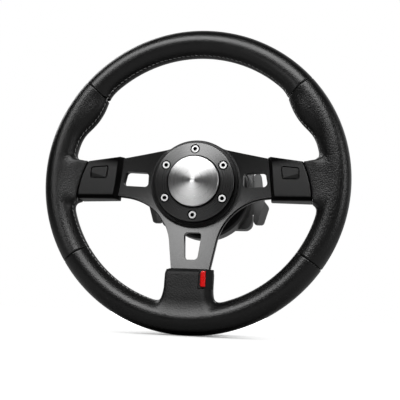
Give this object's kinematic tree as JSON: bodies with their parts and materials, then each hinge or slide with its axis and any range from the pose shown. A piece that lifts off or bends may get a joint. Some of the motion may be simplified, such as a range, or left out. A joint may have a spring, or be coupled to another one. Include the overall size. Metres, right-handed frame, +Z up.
{
  "type": "racing wheel",
  "caption": "Leather-wrapped simulator racing wheel with a dished three-spoke plate, button pods, horn push, shift paddles behind and a quick-release coupling.",
  "frame": {"origin": "centre of the coupling's mouth, at the back of the wheel, on the steering axis", "axes": "+Y along the steering axis, away from the driver and out of the coupling's mouth; +Z up through the top of the rim; +X to the driver's right"},
  "size_m": [0.32, 0.154, 0.32],
  "materials": {
    "black_leather": "grained, satin",
    "grip_foam": "moulded foam",
    "black_anodised": "black anodised, satin",
    "black_hub_metal": "black anodised, bead blasted",
    "spun_aluminium": "turned, bright",
    "pod_plastic": "satin, fine grain",
    "switch_plastic": "satin",
    "circuit_board": "solder mask",
    "red_plastic": "glossy",
    "bright_steel": "zinc plated",
    "black_steel": "black oxide",
    "paddle_metal": "black anodised, brushed",
    "coupling_metal": "black anodised, turned"
  },
  "bodies": {
    "wheel": {"spoke_frame": "black_anodised", "spoke_backing": "black_anodised", "rim_foam": "grip_foam", "leather_top": "black_leather", "leather_right": "black_leather", "leather_left": "black_leather", "leather_bottom": "black_leather", "right_thumb_rest": "black_leather", "left_thumb_rest": "black_leather", "right_pod_front": "pod_plastic", "left_pod_front": "pod_plastic", "right_pod_back": "pod_plastic", "left_pod_back": "pod_plastic", "right_button_board": "circuit_board", "left_button_board": "circuit_board", "pod_screws": "black_steel", "red_button_bezel": "pod_plastic", "red_button_switch": "switch_plastic", "base_ring": "black_anodised", "clamp_ring": "black_anodised", "ring_screws": "bright_steel", "horn_cup": "black_hub_metal", "horn_collar": "black_anodised", "horn_spring": "bright_steel", "horn_switch": "switch_plastic", "switch_base": "pod_plastic", "hub_spool": "black_hub_metal", "spool_bolts": "black_steel", "drum_front": "black_anodised", "drum_back": "black_anodised", "drum_screws": "black_steel", "control_board": "circuit_board", "hub_core": "black_hub_metal", "shifter_housing": "black_hub_metal", "paddle_pins": "bright_steel", "paddle_sensors": "circuit_board", "coupler_body": "coupling_metal", "coupler_screws": "black_steel", "retaining_clip": "black_steel", "connector": "pod_plastic"},
    "horn_push": {"horn_cap": "spun_aluminium", "horn_clip": "bright_steel"},
    "right_pod_push": {"right_pod_button": "pod_plastic"},
    "left_pod_push": {"left_pod_button": "pod_plastic"},
    "red_push": {"red_button": "red_plastic"},
    "right_shifter": {"right_paddle": "paddle_metal", "right_paddle_magnet": "bright_steel"},
    "left_shifter": {"left_paddle": "paddle_metal", "left_paddle_magnet": "bright_steel"},
    "lock_collar": {"lock_ring": "coupling_metal"}
  },
  "joints": [
    {"name": "horn_press", "type": "slide", "parent": "wheel", "child": "horn_push", "axis": [0, 1, 0], "range_m": [0, 0.002], "stiffness_N_per_m": 1500, "springref_m": -0.002, "deforming": ["horn_spring"]},
    {"name": "right_button_press", "type": "slide", "parent": "wheel", "child": "right_pod_push", "axis": [0, 1, 0], "range_m": [0, 0.001], "stiffness_N_per_m": 800, "springref_m": -0.001},
    {"name": "left_button_press", "type": "slide", "parent": "wheel", "child": "left_pod_push", "axis": [0, 1, 0], "range_m": [0, 0.001], "stiffness_N_per_m": 800, "springref_m": -0.001},
    {"name": "red_button_press", "type": "slide", "parent": "wheel", "child": "red_push", "axis": [0, 1, 0], "range_m": [0, 0.0015], "stiffness_N_per_m": 800, "springref_m": -0.001},
    {"name": "right_paddle_pull", "type": "hinge", "parent": "wheel", "child": "right_shifter", "pos_m": [0.0485, -0.036, 0], "axis": [0, 0, -1], "range_deg": [0, 7], "stiffness_Nm_per_rad": 1.2, "springref_deg": -5.73},
    {"name": "left_paddle_pull", "type": "hinge", "parent": "wheel", "child": "left_shifter", "pos_m": [-0.0485, -0.036, 0], "axis": [0, 0, 1], "range_deg": [0, 7], "stiffness_Nm_per_rad": 1.2, "springref_deg": -5.73},
    {"name": "lock_ring_turn", "type": "hinge", "parent": "wheel", "child": "lock_collar", "pos_m": [0, -0.0127, 0], "axis": [0, 1, 0], "continuous": true}
  ]
}
